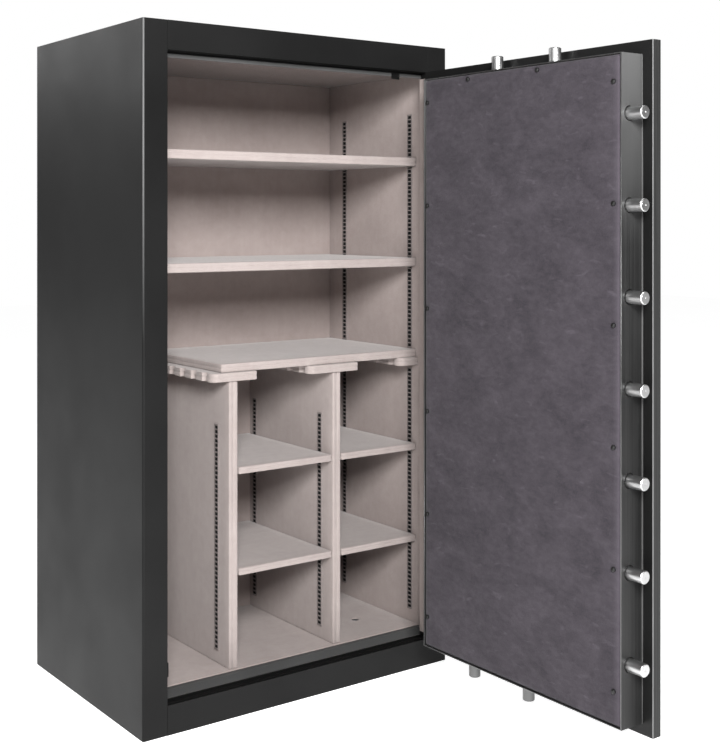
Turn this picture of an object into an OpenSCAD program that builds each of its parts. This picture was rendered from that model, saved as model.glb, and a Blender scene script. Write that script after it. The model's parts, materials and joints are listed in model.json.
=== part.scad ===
// Tall gun safe: sheet-steel cabinet, fire-board lined, fabric-covered interior,
// one outward-swinging door with sliding bolts, scroll-cam boltwork and dial lock.
// Units are millimetres.  Z is up, the front faces -Y, the door stands square open.

/* [Cabinet] */
// outside width
width = 1000; // [900:10:1100]
// outside depth
depth = 690; // [620:10:760]
// outside height
height = 1829; // [1700:1:1900]
// body sheet thickness
sheet = 3.2; // [2.5:0.1:6]
// outer bend radius of the front corners
bend_r = 6; // [4:0.5:12]
// front stile width beside the opening
stile = 70; // [50:1:90]
// front rail height below the opening
sill_h = 77; // [60:1:100]
// front rail height above the opening
header_h = 76; // [60:1:100]
// depth of the folded return round the opening
return_d = 36; // [32:1:48]
// how far the stop flange stands into the opening on the free side
stop_lip = 8; // [5:0.5:10]
// the same at the sill
sill_lip = 5; // [4:0.5:6]
// the same under the header
header_lip = 16; // [6:0.5:18]

/* [Fire lining] */
// one layer of fire board
board = 16; // [12:1:20]
// layers in top, bottom and back
layers = 3; // [2:1:3]
// fire board thickness in the side walls
side_board = 15; // [10:1:18]
// covered panel thickness of the lining
liner = 4; // [3:0.5:6]

/* [Interior] */
// inside face of the covered back panel
back_y = 227; // [180:1:240]
// top of the covered floor
floor_z = 84; // [80:1:95]
// underside of the covered ceiling
ceiling_z = 1757; // [1740:1:1770]
// front edge of shelves and dividers
shelf_front = -236; // [-238:1:-200]
// divider thickness with covering
divider_t = 28; // [20:1:30]
// left face of the left divider
divider_l_x = -184; // [-220:1:-150]
// left face of the right divider
divider_r_x = 164; // [130:1:200]
// shelf thickness of the wide shelves
shelf_t = 26; // [20:1:30]
// shelf thickness of the cubby shelves
cubby_t = 20; // [16:1:24]
// underside of the upper wide shelf
shelf1_z = 1480; // [1400:0.1:1600]
// underside of the barrel rests
rest_z = 874; // [850:1:900]
// barrel rest and middle shelf thickness
rest_t = 24; // [18:1:28]
// underside of the upper cubby shelves
cubby_a_z = 615; // [560:0.1:700]
// radius of a barrel notch
notch_r = 14; // [10:0.5:20]
// spacing of barrel notches
notch_pitch = 63; // [50:1:80]
// slots in one standard are this far apart
slot_pitch = 12.7; // [12.7:0.1:13]

/* [Door] */
// gap between door slab and opening
door_gap = 4; // [3:0.5:6]
// door slab thickness
slab_t = 28; // [20:1:36]
// outer plate thickness of the slab
slab_face = 6; // [5:0.5:12]
// folded edge thickness of the slab
slab_edge = 4; // [3:0.5:8]
// inner sheet thickness of the slab
slab_rear = 3; // [2:0.5:6]
// depth of the boltwork box behind the slab
box_d = 74; // [70:1:78]
// fire board in the boltwork box
door_board = 8; // [6:0.5:8]
// slab lip on the free side
lip_free = 33; // [30:1:50]
// slab lip on the hinge side
lip_hinge = 83; // [60:1:110]
// slab lip above the box
lip_top = 33; // [25:1:40]
// slab lip below the box
lip_bottom = 27; // [25:1:40]
// hinge pin centre outside the front face
pin_off = 13.5; // [12:0.5:20]
// number of hinges
hinges = 3; // [2:1:4]

/* [Boltwork] */
// locking bolt diameter
bolt_dia = 31.75; // [25:0.05:38]
// number of side bolts
side_bolts_n = 7; // [4:1:9]
// spacing of the side bolts
bolt_pitch = 219; // [180:1:240]
// bolt travel
travel = 40; // [30:1:45]
// centre line of the side bolts behind the front face
bolt_in = 73; // [70:0.5:76]
// centre line of the top and bottom bolts behind the front face
end_bolt_in = 52.4; // [52.4:0.1:56]
// handle turn that draws the bolts
handle_turn = 90; // [60:5:120]
// follower radius with the bolts thrown
scroll_r = 75; // [70:1:85]
// follower pin diameter
follower_d = 12; // [10:0.5:14]

/* [Handle and dial] */
// spoke length from the hub centre
spoke_len = 128; // [100:1:150]
// number of spokes
spokes = 3; // [3:1:5]
// dial centre above the handle centre
dial_up = 236; // [200:1:280]
// dial diameter
dial_d = 78; // [70:1:90]

/* [Output] */
// which piece is drawn

/* [Hidden] */
$fn = 48;

// ---- cabinet
hw = width / 2;
hd = depth / 2;
front = -hd;
open_x = hw - stile;
open_z0 = sill_h;
open_z1 = height - header_h;
return_y = front + return_d;
lining = layers * board;
board_x = hw - sheet - side_board;
wall_x = board_x - liner;
// the space the bolts drop into, between the return and the lining
deck_front = -254;
side_liner_front = -300;
deck_floor_z = floor_z - liner;
deck_ceiling_z = ceiling_z + liner;
bottom_board_z = sheet + lining;
top_board_z = height - sheet - lining;
back_deck_t = 10;
batt_y0 = back_y + liner + back_deck_t;
batt_y1 = hd - sheet - lining;
// stop flange, and the seal strips on the return and on the flange
flange_t = 4;
seal_t = 2.5;
seal_w = 9;
seal_y0 = front + 6;
flange_seal_t = 3.5;
flange_seal_h = 6;
// floor anchors, and the wider bores over them for a socket
anchor_x = 350;
anchor_y = 90;
anchor_r = 7;
socket_r = 12;

// ---- furniture
// side play of a shelf between its walls
shelf_play = 4;
mid_z = rest_z + rest_t;
mid_shelf_x0 = divider_l_x - 22;
shelf2_z = shelf1_z - 24 * slot_pitch;
cubby_b_z = cubby_a_z - 22 * slot_pitch;
// left and right ends of the three barrel rests
rest_left_x = [-240, -98];
rest_middle_x = [80, 250];
rest_right_x = [408, wall_x];
rest_corner_r = 22;
notches = 6;
notch_y0 = -197;
// shelf standards: centre lines, size, and slot rows
wall_ys = [-201, 141];
divider_ys = [-168, 195];
standard_w = 20;
standard_t = 3;
slot_w = 17;
slot_h = 9;
slot_floor = 0.8;
strip_end = 9;
clip_t = 3;
upper_first = shelf1_z - clip_t / 2 - 43 * slot_pitch;
upper_slots = 56;
lower_first = cubby_a_z - clip_t / 2 - 38 * slot_pitch;
lower_slots = 58;
divider_slots = 49;

// ---- door, all in its closed place
slab_x = open_x - door_gap;
slab_z0 = open_z0 + door_gap;
slab_z1 = open_z1 - door_gap;
slab_back = front + slab_t;
box_t = 2.5;
box_x0 = -slab_x + lip_free;
box_x1 = slab_x - lip_hinge;
box_z0 = slab_z0 + lip_bottom;
box_z1 = slab_z1 - lip_top;
box_back = slab_back + box_d;
// inner panel, let in between the walls of the box
panel_t = 6;
panel_gap = 1.5;
panel_front = box_back - panel_t;
door_mid_z = (slab_z0 + slab_z1) / 2;
handle_z = door_mid_z;
dial_z = handle_z + dial_up;
handle_hole_r = 16;
spindle_hole_r = 7;
// push-in pins of the inner panel
pin_head_r = 6;
pin_head_t = 2.5;
pin_rows = [for (i = [0 : 5]) 1648 - i * 291];
pin_top_xs = [156, -110];

// ---- hinges
pin_x = open_x + 9.5;
pin_y = front - pin_off;
hinge_inset = 235;
hinge_span = slab_z1 - slab_z0 - 2 * hinge_inset;
hinge_zs = [for (i = [0 : hinges - 1]) slab_z0 + hinge_inset + i * hinge_span / (hinges - 1)];
barrel_r = 12.5;
pin_r = 7;
knuckle = 48;
leaf_t = 12;
washer_t = 3;
pin_seat = 6;

// ---- bolts, thrown
bolt_y = front + bolt_in;
end_bolt_y = front + end_bolt_in;
bolt_r = bolt_dia / 2;
guide_r = bolt_r + 0.075;
// wider holes where the bolts pass the box wall, and the centre drilling in their tips
pass_r = bolt_r + 2.5;
drill_r = 2;
drill_deep = 1.5;
tip_side = -442;
tip_top = 1758;
tip_bottom = 58;
root_side = -300;
root_top = 1640;
root_bottom = 186;
top_xs = [90, -126];
bottom_xs = [182, -30];
side_zs = [for (i = [0 : side_bolts_n - 1]) handle_z + (i - (side_bolts_n - 1) / 2) * bolt_pitch];
bar_t = 10;
bar_half = 17;
end_bar_half = 16;
guide_t = 6;
// flat bar that stiffens the slab beside the hinges
stiffener_x0 = 352;
stiffener_x1 = 386;
stiffener_t = 8;

// ---- cam, links and lock
link_y0 = bolt_y - bar_half;
link_y1 = link_y0 + 8;
cam_y0 = -299;
cam_y1 = -291;
arm_half = 14;
shaft_r = 10;
rod_x0 = 62;
rod_x1 = 86;
lock_front = -275;
lock_half = 45;
spindle_r = 4;
tongue_z0 = dial_z + 18;
tongue_z1 = dial_z + 42;
tongue_y0 = bolt_y - 18;
tongue_y1 = bolt_y - 8;

STEEL = [0.24, 0.25, 0.25];
BRIGHT = [0.72, 0.72, 0.70];
FABRIC = [0.66, 0.62, 0.61];
PURPLE = [0.35, 0.33, 0.36];
BOARD = [0.86, 0.85, 0.82];
BLACK = [0.04, 0.04, 0.04];
ZINC = [0.60, 0.58, 0.56];
BRASS = [0.72, 0.57, 0.28];

// a block from its low corner to its high corner
module block(lo, hi) {
    translate(lo)
        cube(hi - lo);
}

// a round bar along Y
module rod_y(x, y0, y1, z, r) {
    translate([x, y0, z])
        rotate([-90, 0, 0])
            cylinder(r = r, h = y1 - y0);
}

// a round bar along X
module rod_x(x0, x1, y, z, r) {
    translate([x0, y, z])
        rotate([0, 90, 0])
            cylinder(r = r, h = x1 - x0);
}

// a round bar along Z
module rod_z(x, y, z0, z1, r) {
    translate([x, y, z0])
        cylinder(r = r, h = z1 - z0);
}

// turns a piece drawn in the closed door to the square-open door
module swung() {
    translate([pin_x, pin_y, 0])
        rotate([0, 0, 90])
            translate([-pin_x, -pin_y, 0])
                children();
}

// ---------------------------------------------------------------- cabinet

// one side sheet, folded round the front corner, along the stile and into the return
module side_sheet() {
    difference() {
        union() {
            block([-hw, front + bend_r, 0], [-hw + sheet, hd, height]);
            block([-hw + bend_r, front, 0], [-open_x, front + sheet, height]);
            block([-open_x - sheet, front, open_z0], [-open_x, return_y, open_z1]);
            intersection() {
                rod_z(-hw + bend_r, front + bend_r, 0, height, bend_r);
                block([-hw, front, 0], [-hw + bend_r, front + bend_r, height]);
            }
        }
        intersection() {
            rod_z(-hw + bend_r, front + bend_r, -1, height + 1, bend_r - sheet);
            block([-hw, front, -1], [-hw + bend_r, front + bend_r, height + 1]);
        }
    }
}

module side_left() {
    color(STEEL)
        side_sheet();
}

module side_right() {
    color(STEEL)
        mirror([1, 0, 0])
            side_sheet();
}

// roof sheet with the front header and its return
module top_panel() {
    color(STEEL)
        union() {
            block([-hw + sheet, front + bend_r, height - sheet], [hw - sheet, hd, height]);
            block([-open_x, front, height - sheet], [open_x, front + bend_r, height]);
            block([-open_x, front, open_z1], [open_x, front + sheet, height]);
            block([-open_x, front, open_z1], [open_x, return_y, open_z1 + sheet]);
        }
}

// the four anchor places
module anchor_bores(z0, z1, r) {
    for (x = [-anchor_x, anchor_x], y = [-anchor_y, anchor_y])
        rod_z(x, y, z0, z1, r);
}

// floor sheet with the front sill, its return and the four anchor holes
module bottom_panel() {
    color(STEEL)
        difference() {
            union() {
                block([-hw + sheet, front + bend_r, 0], [hw - sheet, hd, sheet]);
                block([-open_x, front, 0], [open_x, front + bend_r, sheet]);
                block([-open_x, front, 0], [open_x, front + sheet, open_z0]);
                block([-open_x, front, open_z0 - sheet], [open_x, return_y, open_z0]);
            }
            anchor_bores(-1, sheet + 1, anchor_r);
        }
}

// back sheet, let in between the side sheets
module back_plate() {
    color(STEEL)
        block([-hw + sheet, hd - sheet, sheet], [hw - sheet, hd, height - sheet]);
}

// stop flange: bottom, free side and top of the opening; the slab swings in at the hinge side
module stop_flange() {
    color(STEEL)
        difference() {
            block([-open_x, return_y - flange_t, open_z0], [open_x, return_y, open_z1]);
            block([-open_x + stop_lip, return_y - flange_t - 1, open_z0 + sill_lip],
                  [open_x + 1, return_y + 1, open_z1 - header_lip]);
        }
}

// three sides of a strip round the opening; t is its height on the sill, the free side and the header
module seal_frame(y0, y1, t) {
    difference() {
        block([-open_x, y0, open_z0], [open_x - 2, y1, open_z1]);
        block([-open_x + t[1], y0 - 1, open_z0 + t[0]], [open_x, y1 + 1, open_z1 - t[2]]);
    }
}

// heat seal: a strip on the return in the gap round the slab, and a strip on the stop flange
module door_seal() {
    flange_front = return_y - flange_t;
    color(BLACK)
        union() {
            seal_frame(seal_y0, seal_y0 + seal_w, [seal_t, seal_t, seal_t]);
            seal_frame(flange_front - flange_seal_t, flange_front, [sill_lip, flange_seal_h, flange_seal_h]);
        }
}

// pale felt strip glued to the hinge-side return
module jamb_trim() {
    color(FABRIC)
        block([open_x - 1.5, front + 4, open_z0 + 14], [open_x, return_y, open_z1 - header_lip - 2]);
}

// small rubber pads: one on the edge of the free-side return, one on the flange under the header
module jamb_bumpers() {
    pad_t = 3;
    flange_front = return_y - flange_t;
    color(BLACK)
        union() {
            block([-open_x, front + 1, 150], [-open_x + pad_t, seal_y0 - 0.5, 186]);
            block([318, flange_front - pad_t, open_z1 - 24], [346, flange_front, open_z1 - 7]);
        }
}

// ---------------------------------------------------------------- fire lining

module fireboard_sides() {
    color(BOARD)
        for (s = [-1, 1])
            block([min(s * board_x, s * (hw - sheet)), return_y + 2, bottom_board_z],
                  [max(s * board_x, s * (hw - sheet)), batt_y1, top_board_z]);
}

// roof layers and the floor layers with their anchor holes
module fireboard_ends() {
    color(BOARD)
        difference() {
            union() {
                block([-hw + sheet, return_y + 2, top_board_z], [hw - sheet, batt_y1, height - sheet]);
                block([-hw + sheet, return_y + 2, sheet], [hw - sheet, batt_y1, bottom_board_z]);
            }
            anchor_bores(0, bottom_board_z + 1, socket_r);
        }
}

module fireboard_back() {
    color(BOARD)
        block([-hw + sheet, batt_y1, sheet], [hw - sheet, hd - sheet, height - sheet]);
}

// mineral wool between the back board and the back deck
module back_batt() {
    color([0.72, 0.66, 0.45])
        block([-board_x, batt_y0, bottom_board_z], [board_x, batt_y1, top_board_z]);
}

// steel-edged base the covered floor lies on
module floor_deck() {
    color(STEEL)
        difference() {
            block([-board_x, deck_front, bottom_board_z], [board_x, back_y + liner, deck_floor_z]);
            anchor_bores(bottom_board_z - 1, deck_floor_z + 1, socket_r);
        }
}

module ceiling_deck() {
    color(STEEL)
        block([-board_x, deck_front, deck_ceiling_z], [board_x, back_y + liner, top_board_z]);
}

module back_deck() {
    color([0.62, 0.50, 0.36])
        block([-board_x, back_y + liner, bottom_board_z], [board_x, batt_y0, top_board_z]);
}

// ---------------------------------------------------------------- covered lining

module liner_left() {
    color(FABRIC)
        block([-board_x, side_liner_front, deck_floor_z], [-wall_x, back_y + liner, deck_ceiling_z]);
}

module liner_right() {
    color(FABRIC)
        block([wall_x, side_liner_front, deck_floor_z], [board_x, back_y + liner, deck_ceiling_z]);
}

module liner_back() {
    color(FABRIC)
        block([-wall_x, back_y, floor_z], [wall_x, back_y + liner, ceiling_z]);
}

module liner_ceiling() {
    color(FABRIC)
        block([-wall_x, deck_front + 16, ceiling_z], [wall_x, back_y + liner, deck_ceiling_z]);
}

module liner_floor() {
    color(FABRIC)
        difference() {
            block([-wall_x, deck_front + 14, deck_floor_z], [wall_x, back_y + liner, floor_z]);
            anchor_bores(deck_floor_z - 1, floor_z + 1, socket_r);
        }
}

// ---------------------------------------------------------------- furniture

module divider(x) {
    color(FABRIC)
        block([x, shelf_front + 2, floor_z], [x + divider_t, back_y, rest_z]);
}

module divider_left() {
    divider(divider_l_x);
}

module divider_right() {
    divider(divider_r_x);
}

// full-width shelf carried on clips in the wall standards
module wide_shelf(z) {
    color(FABRIC)
        block([-wall_x + shelf_play, shelf_front, z], [wall_x - shelf_play, back_y, z + shelf_t]);
}

module shelf_top() {
    wide_shelf(shelf1_z);
}

module shelf_second() {
    wide_shelf(shelf2_z);
}

// middle shelf on top of the barrel rests; stops short of the long-gun bay
module shelf_middle() {
    color(FABRIC)
        block([mid_shelf_x0, shelf_front + 6, mid_z], [wall_x, back_y, mid_z + rest_t]);
}

// barrel rest: board with a rounded front corner and scalloped left edge
module barrel_rest(ends) {
    x0 = ends[0];
    x1 = ends[1];
    y0 = shelf_front - 4;
    color(FABRIC)
        difference() {
            union() {
                block([x0 + rest_corner_r, y0, rest_z], [x1, back_y, mid_z]);
                block([x0, y0 + rest_corner_r, rest_z], [x0 + rest_corner_r, back_y, mid_z]);
                rod_z(x0 + rest_corner_r, y0 + rest_corner_r, rest_z, mid_z, rest_corner_r);
            }
            for (i = [0 : notches - 1])
                rod_z(x0 - 3, notch_y0 + i * notch_pitch, rest_z - 1, mid_z + 1, notch_r);
        }
}

module rest_left() {
    barrel_rest(rest_left_x);
}

module rest_middle() {
    barrel_rest(rest_middle_x);
}

module rest_right() {
    barrel_rest(rest_right_x);
}

module cubby_shelf(x0, x1, z) {
    color(FABRIC)
        block([x0 + shelf_play, shelf_front + 2, z], [x1 - shelf_play, back_y - 1, z + cubby_t]);
}

module cubby_shelves_mid() {
    for (z = [cubby_a_z, cubby_b_z])
        cubby_shelf(divider_l_x + divider_t, divider_r_x, z);
}

module cubby_shelves_right() {
    for (z = [cubby_a_z, cubby_b_z])
        cubby_shelf(divider_r_x + divider_t, wall_x, z);
}

// slotted standard on a face looking to +X; z_first is the lowest slot centre
module standard(x, y, z_first, count) {
    z_last = z_first + (count - 1) * slot_pitch;
    color(ZINC)
        difference() {
            block([x, y - standard_w / 2, z_first - strip_end],
                  [x + standard_t, y + standard_w / 2, z_last + strip_end]);
            for (i = [0 : count - 1])
                block([x + slot_floor, y - slot_w / 2, z_first + i * slot_pitch - slot_h / 2],
                      [x + standard_t + 1, y + slot_w / 2, z_first + i * slot_pitch + slot_h / 2]);
        }
}

// the same standard on a face looking to -X
module standard_left(x, y, z_first, count) {
    mirror([1, 0, 0])
        standard(-x, y, z_first, count);
}

module standards_upper() {
    for (y = wall_ys) {
        standard(-wall_x, y, upper_first, upper_slots);
        standard_left(wall_x, y, upper_first, upper_slots);
    }
}

module standards_lower() {
    for (y = wall_ys)
        standard_left(wall_x, y, lower_first, lower_slots);
}

module standards_divider() {
    for (y = divider_ys, x = [divider_l_x, divider_r_x]) {
        standard_left(x, y, lower_first, divider_slots);
        standard(x + divider_t, y, lower_first, divider_slots);
    }
}

// clip: a tongue in a slot and a tab under the shelf, for a face looking to +X
module clip(x, y, z) {
    color(BLACK)
        block([x + 1, y - 5, z - clip_t], [x + 15, y + 5, z]);
}

module clip_pair(x0, x1, y0, y1, z) {
    clip(x0, y0, z);
    clip(x0, y1, z);
    mirror([1, 0, 0]) {
        clip(-x1, y0, z);
        clip(-x1, y1, z);
    }
}

module shelf_clips() {
    for (z = [shelf1_z, shelf2_z])
        clip_pair(-wall_x, wall_x, wall_ys[0], wall_ys[1], z);
    for (z = [cubby_a_z, cubby_b_z]) {
        clip_pair(divider_l_x + divider_t, divider_r_x, divider_ys[0], divider_ys[1], z);
        for (y = divider_ys)
            clip(divider_r_x + divider_t, y, z);
        for (y = wall_ys)
            mirror([1, 0, 0])
                clip(-wall_x, y, z);
    }
}

// ---------------------------------------------------------------- hinges

// lower knuckle with a leaf welded to the front of the stile
module hinge_leaves_body() {
    color(STEEL)
        for (z = hinge_zs)
            difference() {
                union() {
                    rod_z(pin_x, pin_y, z - knuckle, z - washer_t / 2, barrel_r);
                    block([pin_x, front - leaf_t, z - knuckle], [pin_x + 34, front, z - washer_t / 2]);
                }
                rod_z(pin_x, pin_y, z - knuckle + pin_seat, z, pin_r + 0.02);
            }
}

// pin seated in the lower knuckle
module hinge_pins() {
    color(BRIGHT)
        for (z = hinge_zs)
            rod_z(pin_x, pin_y, z - knuckle + pin_seat, z + knuckle - 8, pin_r);
}

// hardened washer between the knuckles
module hinge_washers() {
    color(BRASS)
        for (z = hinge_zs)
            difference() {
                rod_z(pin_x, pin_y, z - washer_t / 2, z + washer_t / 2, barrel_r);
                rod_z(pin_x, pin_y, z - washer_t, z + washer_t, pin_r + 0.05);
            }
}

// upper knuckle with a leaf welded to the front of the slab
module hinge_leaves_door() {
    color(STEEL)
        swung()
            for (z = hinge_zs)
                difference() {
                    union() {
                        rod_z(pin_x, pin_y, z + washer_t / 2, z + knuckle, barrel_r);
                        block([pin_x - 62, front - leaf_t, z + washer_t / 2], [slab_x, front, z + knuckle]);
                        block([slab_x, front - leaf_t, z + washer_t / 2],
                              [pin_x, front - 1, z + knuckle]);
                    }
                    rod_z(pin_x, pin_y, z, z + knuckle - pin_seat, pin_r + 0.05);
                }
}

// ---------------------------------------------------------------- door

// hollow inside the slab, less the posts round the handle and dial holes
module slab_cavity(gap) {
    difference() {
        block([-slab_x + slab_edge, front + slab_face, slab_z0 + slab_edge],
              [slab_x - slab_edge, slab_back - slab_rear, slab_z1 - slab_edge]);
        rod_y(0, front, slab_back, handle_z, handle_hole_r + 6 + gap);
        rod_y(0, front, slab_back, dial_z, spindle_hole_r + 6 + gap);
    }
}

// welded slab: outer plate, folded edge and inner sheet round a filled hollow
module door_slab() {
    color(STEEL)
        swung()
            difference() {
                block([-slab_x, front, slab_z0], [slab_x, slab_back, slab_z1]);
                slab_cavity(0);
                rod_y(0, front - 1, slab_back + 1, handle_z, handle_hole_r);
                rod_y(0, front - 1, slab_back + 1, dial_z, spindle_hole_r);
            }
}

// fire board cast into the slab
module door_core() {
    color(BOARD)
        swung()
            slab_cavity(1);
}

// folded box behind the slab, open at the back, pierced for the bolts
module door_box() {
    color(STEEL)
        swung()
            difference() {
                block([box_x0, slab_back, box_z0], [box_x1, box_back, box_z1]);
                block([box_x0 + box_t, slab_back - 1, box_z0 + box_t],
                      [box_x1 - box_t, box_back + 1, box_z1 - box_t]);
                for (z = side_zs)
                    rod_x(box_x0 - 1, box_x0 + box_t + 1, bolt_y, z, pass_r);
                for (x = top_xs)
                    rod_z(x, end_bolt_y, box_z1 - box_t - 1, box_z1 + 1, pass_r);
                for (x = bottom_xs)
                    rod_z(x, end_bolt_y, box_z0 - 1, box_z0 + box_t + 1, pass_r);
            }
}

module door_fireboard() {
    color(BOARD)
        swung()
            difference() {
                block([box_x0 + box_t, slab_back, box_z0 + box_t],
                      [box_x1 - box_t, slab_back + door_board, box_z1 - box_t]);
                rod_y(0, slab_back - 1, slab_back + door_board + 1, handle_z, 20);
                block([-lock_half - 5, slab_back - 1, dial_z - lock_half - 5],
                      [lock_half + 5, slab_back + door_board + 1, dial_z + lock_half + 25]);
            }
}

// fabric-covered panel that closes the box and rests on the guide plates
module door_liner() {
    inset = box_t + panel_gap;
    color(PURPLE)
        swung()
            block([box_x0 + inset, panel_front, box_z0 + inset],
                  [box_x1 - inset, box_back, box_z1 - inset]);
}

// push-in pins round the panel
module liner_pin(x, z) {
    rod_y(x, box_back, box_back + pin_head_t, z, pin_head_r);
}

module liner_pins() {
    color(BLACK)
        swung() {
            for (z = pin_rows, x = [box_x1 - 14, box_x0 + 26])
                liner_pin(x, z);
            for (x = pin_top_xs)
                liner_pin(x, box_z1 - 16);
        }
}

// flat bar welded inside the slab beside the hinge edge
module hinge_stiffener() {
    color(STEEL)
        swung()
            block([stiffener_x0, slab_back, slab_z0 + 40],
                  [stiffener_x1, slab_back + stiffener_t, slab_z1 - 40]);
}

// drilled guide plates the bolts run in
module bolt_guides() {
    guide_front = slab_back + door_board;
    side_x = -350;
    top_z = box_z1 - 46;
    bottom_z = box_z0 + 40;
    color(ZINC)
        swung()
            difference() {
                union() {
                    block([side_x, guide_front, box_z0 + 60],
                          [side_x + guide_t, panel_front, box_z1 - 60]);
                    block([top_xs[1] - 40, guide_front, top_z],
                          [top_xs[0] + 40, panel_front, top_z + guide_t]);
                    block([bottom_xs[1] - 40, guide_front, bottom_z],
                          [bottom_xs[0] + 28, panel_front, bottom_z + guide_t]);
                }
                for (z = side_zs)
                    rod_x(side_x - 1, side_x + guide_t + 1, bolt_y, z, guide_r);
                for (x = top_xs)
                    rod_z(x, end_bolt_y, top_z - 1, top_z + guide_t + 1, guide_r);
                for (x = bottom_xs)
                    rod_z(x, end_bolt_y, bottom_z - 1, bottom_z + guide_t + 1, guide_r);
            }
}

// bronze bush and outside rose for the handle shaft
module handle_bush() {
    color(BRASS)
        swung()
            difference() {
                union() {
                    rod_y(0, front - 8, front, handle_z, 44);
                    rod_y(0, front, slab_back, handle_z, handle_hole_r);
                }
                rod_y(0, front - 9, slab_back + 1, handle_z, shaft_r + 0.05);
            }
}

// lock body with its mounting plate, spindle bore and bolt slot
module lock_case() {
    color(BRIGHT)
        swung()
            difference() {
                block([-lock_half, slab_back, dial_z - lock_half], [lock_half, lock_front, dial_z + 65]);
                rod_y(0, slab_back - 1, lock_front + 1, dial_z, spindle_r + 0.05);
                block([8, tongue_y0 - 0.1, tongue_z0 - 0.1],
                      [lock_half + 1, tongue_y1 + 0.1, tongue_z1 + 0.1]);
            }
}

module dial_ring() {
    color(BRIGHT)
        swung()
            difference() {
                rod_y(0, front - 12, front, dial_z, dial_d / 2 + 12);
                rod_y(0, front - 13, front - 4, dial_z, dial_d / 2 + 1);
                rod_y(0, front - 5, front + 1, dial_z, spindle_hole_r);
            }
}

// ---------------------------------------------------------------- boltwork

// half outline of a locking bolt: centre drilling, chamfered tip and plain shank
module bolt_profile(len) {
    polygon([
        [0, drill_deep], [drill_r, 0], [bolt_r - 2, 0], [bolt_r, 2], [bolt_r, len], [0, len]
    ]);
}

// a locking bolt along X
module bolt_x(x_tip, x_root, z) {
    translate([x_tip, bolt_y, z])
        rotate([0, 90, 0])
            rotate_extrude()
                bolt_profile(x_root - x_tip);
}

module side_bolts() {
    color(BRIGHT)
        swung()
            for (z = side_zs)
                bolt_x(tip_side, root_side, z);
}

// bar that ties the side bolts, with the arm and follower pin
module side_bar() {
    color(ZINC)
        swung()
            union() {
                block([root_side, bolt_y - bar_half, side_zs[0] - 25],
                      [root_side + bar_t, bolt_y + bar_half, side_zs[side_bolts_n - 1] + 25]);
                block([root_side + bar_t, link_y0, handle_z - arm_half],
                      [-scroll_r, link_y1, handle_z + arm_half]);
                rod_y(-scroll_r, link_y0, link_y1, handle_z, arm_half);
                rod_y(-scroll_r, cam_y0 + 1, link_y0 + 1, handle_z, follower_d / 2);
            }
}

// a locking bolt along Z
module bolt_z(x, z_tip, z_root) {
    s = z_tip > z_root ? 1 : -1;
    len = abs(z_tip - z_root);
    translate([x, end_bolt_y, z_tip])
        rotate([s > 0 ? 180 : 0, 0, 0])
            rotate_extrude()
                bolt_profile(len);
}

module top_bolts() {
    color(BRIGHT)
        swung()
            for (x = top_xs)
                bolt_z(x, tip_top, root_top);
}

// cross bar, rod with two lock notches, and follower arm for the top bolts
module top_link() {
    arm_z = handle_z + scroll_r;
    notch_z = (tongue_z0 + tongue_z1) / 2;
    notch_half = (tongue_z1 - tongue_z0) / 2 + 1;
    color(ZINC)
        swung()
            difference() {
                union() {
                    block([top_xs[1] - 20, end_bolt_y - end_bar_half, root_top - bar_t],
                          [top_xs[0] + 20, end_bolt_y + end_bar_half, root_top]);
                    block([rod_x0, link_y0, arm_z - arm_half], [rod_x1, link_y1, root_top - bar_t]);
                    block([0, link_y0, arm_z - arm_half], [rod_x0, link_y1, arm_z + arm_half]);
                    rod_y(0, link_y0, link_y1, arm_z, arm_half);
                    rod_y(0, cam_y0 + 1, link_y0 + 1, arm_z, follower_d / 2);
                }
                for (z = [notch_z, notch_z + travel])
                    block([rod_x0 - 1, link_y0 - 1, z - notch_half],
                          [rod_x0 + 12, link_y1 + 1, z + notch_half]);
            }
}

module bottom_bolts() {
    color(BRIGHT)
        swung()
            for (x = bottom_xs)
                bolt_z(x, tip_bottom, root_bottom);
}

module bottom_link() {
    color(ZINC)
        swung()
            union() {
                block([bottom_xs[1] - 20, end_bolt_y - end_bar_half, root_bottom],
                      [bottom_xs[0] + 20, end_bolt_y + end_bar_half, root_bottom + bar_t]);
                block([-12, link_y0, root_bottom + bar_t], [12, link_y1, handle_z - scroll_r]);
                rod_y(0, link_y0, link_y1, handle_z - scroll_r, arm_half);
                rod_y(0, cam_y0 + 1, link_y0 + 1, handle_z - scroll_r, follower_d / 2);
            }
}

// ---------------------------------------------------------------- handle, cam and lock

// a point on one side of a scroll slot; side -1 is the inner edge, 1 the outer edge
function scroll_radius(t) = scroll_r - travel * t;
function scroll_angle(start, t) = start + handle_turn * t;
function scroll_slope() = -travel / (handle_turn * PI / 180);
function scroll_point(start, t, side, half) =
    let (
        r = scroll_radius(t),
        a = scroll_angle(start, t),
        n = sqrt(r * r + pow(scroll_slope(), 2)),
        nr = r / n,
        na = -scroll_slope() / n
    )
    [
        r * cos(a) + side * half * (nr * cos(a) - na * sin(a)),
        r * sin(a) + side * half * (nr * sin(a) + na * cos(a))
    ];

// one spiral slot of the scroll cam, drawn in the plane of the plate
module scroll_slot(start) {
    half = follower_d / 2 + 0.35;
    steps = 18;
    slot_depth = 12;
    union() {
        linear_extrude(height = slot_depth)
            polygon(concat(
                [for (i = [0 : steps]) scroll_point(start, i / steps, 1, half)],
                [for (i = [0 : steps]) scroll_point(start, 1 - i / steps, -1, half)]
            ));
        for (t = [0, 1])
            translate([
                scroll_radius(t) * cos(scroll_angle(start, t)),
                scroll_radius(t) * sin(scroll_angle(start, t)),
                0
            ])
                cylinder(r = half, h = slot_depth);
    }
}

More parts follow.
